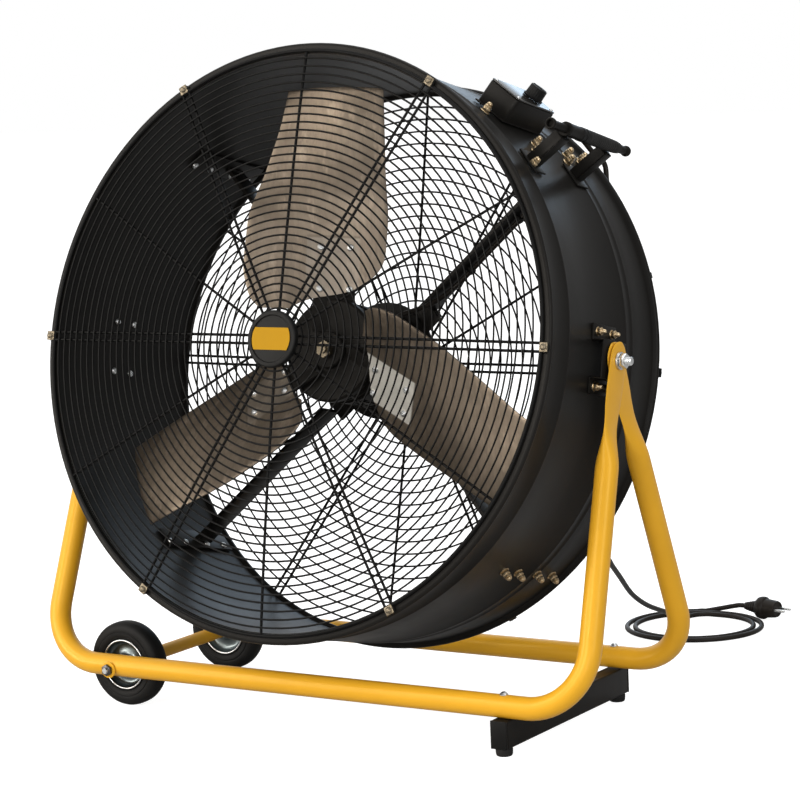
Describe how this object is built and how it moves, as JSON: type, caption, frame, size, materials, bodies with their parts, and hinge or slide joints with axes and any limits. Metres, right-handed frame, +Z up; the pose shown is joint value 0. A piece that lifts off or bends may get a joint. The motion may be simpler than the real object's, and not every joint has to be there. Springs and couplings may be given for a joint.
{
  "type": "portable drum fan",
  "caption": "Portable drum fan: a tilting steel drum with wire guards, motor and metal blades, on a tubular stand with wheels, a foot bar and a mains cord.",
  "frame": {"origin": "on the floor, under the middle of the drum's pivots, midway between the outer sides of the stand", "axes": "+Z up; -Y is where the fan blows; +X is the side of the foot bar and the control box, -X the side of the wheels"},
  "size_m": [0.93, 1.0187, 0.962],
  "materials": {
    "drum_paint": "satin black enamel",
    "guard_wire": "semi-gloss black powder coat",
    "black_plastic": "black moulded",
    "blade_metal": "bare rolled sheet",
    "zinc": "zinc plated",
    "frame_paint": "semi-gloss golden yellow enamel",
    "rubber": "matt black",
    "tyre": "matt black",
    "cord_rubber": "black-brown jacket"
  },
  "bodies": {
    "frame": {"front_tube": "frame_paint", "rear_tube": "frame_paint", "pivot_bolt_right": "zinc", "pivot_bolt_left": "zinc", "pivot_washer_right": "zinc", "pivot_washer_left": "zinc", "pivot_nut_right": "zinc", "pivot_nut_left": "zinc", "axle": "zinc", "axle_spacer": "frame_paint", "axle_nut_front": "zinc", "axle_nut_rear": "zinc", "foot_bar": "drum_paint", "foot_cap_front": "black_plastic", "foot_cap_rear": "black_plastic", "foot_pad_front": "rubber", "foot_pad_rear": "rubber", "rail_bolt_front": "zinc", "rail_bolt_rear": "zinc", "cord_drop": "cord_rubber", "cord_coil": "cord_rubber", "plug": "cord_rubber"},
    "drum": {"drum_shell": "drum_paint", "front_guard": "guard_wire", "rear_guard": "guard_wire", "front_cap": "black_plastic", "rear_cap": "black_plastic", "motor_body": "drum_paint", "motor_front_shield": "drum_paint", "motor_rear_shield": "drum_paint", "motor_mount": "drum_paint", "motor_cable": "cord_rubber", "strut_ur": "drum_paint", "strut_ul": "drum_paint", "strut_ll": "drum_paint", "strut_lr": "drum_paint", "pivot_bracket_right": "drum_paint", "pivot_bracket_left": "drum_paint", "control_box": "drum_paint", "control_lid": "drum_paint", "cable_gland": "black_plastic", "handle_bracket_front": "drum_paint", "handle_bracket_rear": "drum_paint", "handle_bar": "drum_paint", "handle_grip": "rubber", "handle_collar": "black_plastic", "supply_lead": "cord_rubber", "lead_clip_top": "black_plastic", "lead_clip_bottom": "black_plastic"},
    "rotor": {"motor_shaft": "zinc", "hub": "drum_paint", "hub_nut": "zinc", "blade_1": "blade_metal", "blade_2": "blade_metal", "blade_3": "blade_metal"},
    "knob": {"speed_knob": "black_plastic"},
    "wheel_front": {"tyre_front": "tyre", "rim_front": "zinc"},
    "wheel_rear": {"tyre_rear": "tyre", "rim_rear": "zinc"}
  },
  "joints": [
    {"name": "drum_tilt", "type": "hinge", "parent": "frame", "child": "drum", "pos_m": [0, 0, 0.5174], "axis": [-1, 0, 0], "range_deg": [-42.7, 77.3], "deforming": ["cord_drop"]},
    {"name": "rotor_spin", "type": "hinge", "parent": "drum", "child": "rotor", "pos_m": [0, 0, 0.5174], "axis": [0, 0.9754, -0.2204], "continuous": true},
    {"name": "knob_turn", "type": "hinge", "parent": "drum", "child": "knob", "pos_m": [0.26068, 0.10131, 0.87056], "axis": [0.5793, 0.1796, 0.7951], "range_deg": [-60, 60]},
    {"name": "wheel_front_spin", "type": "hinge", "parent": "frame", "child": "wheel_front", "pos_m": [-0.3305, -0.125, 0.063], "axis": [0, 1, 0], "continuous": true},
    {"name": "wheel_rear_spin", "type": "hinge", "parent": "frame", "child": "wheel_rear", "pos_m": [-0.3305, 0.125, 0.063], "axis": [0, 1, 0], "continuous": true}
  ]
}
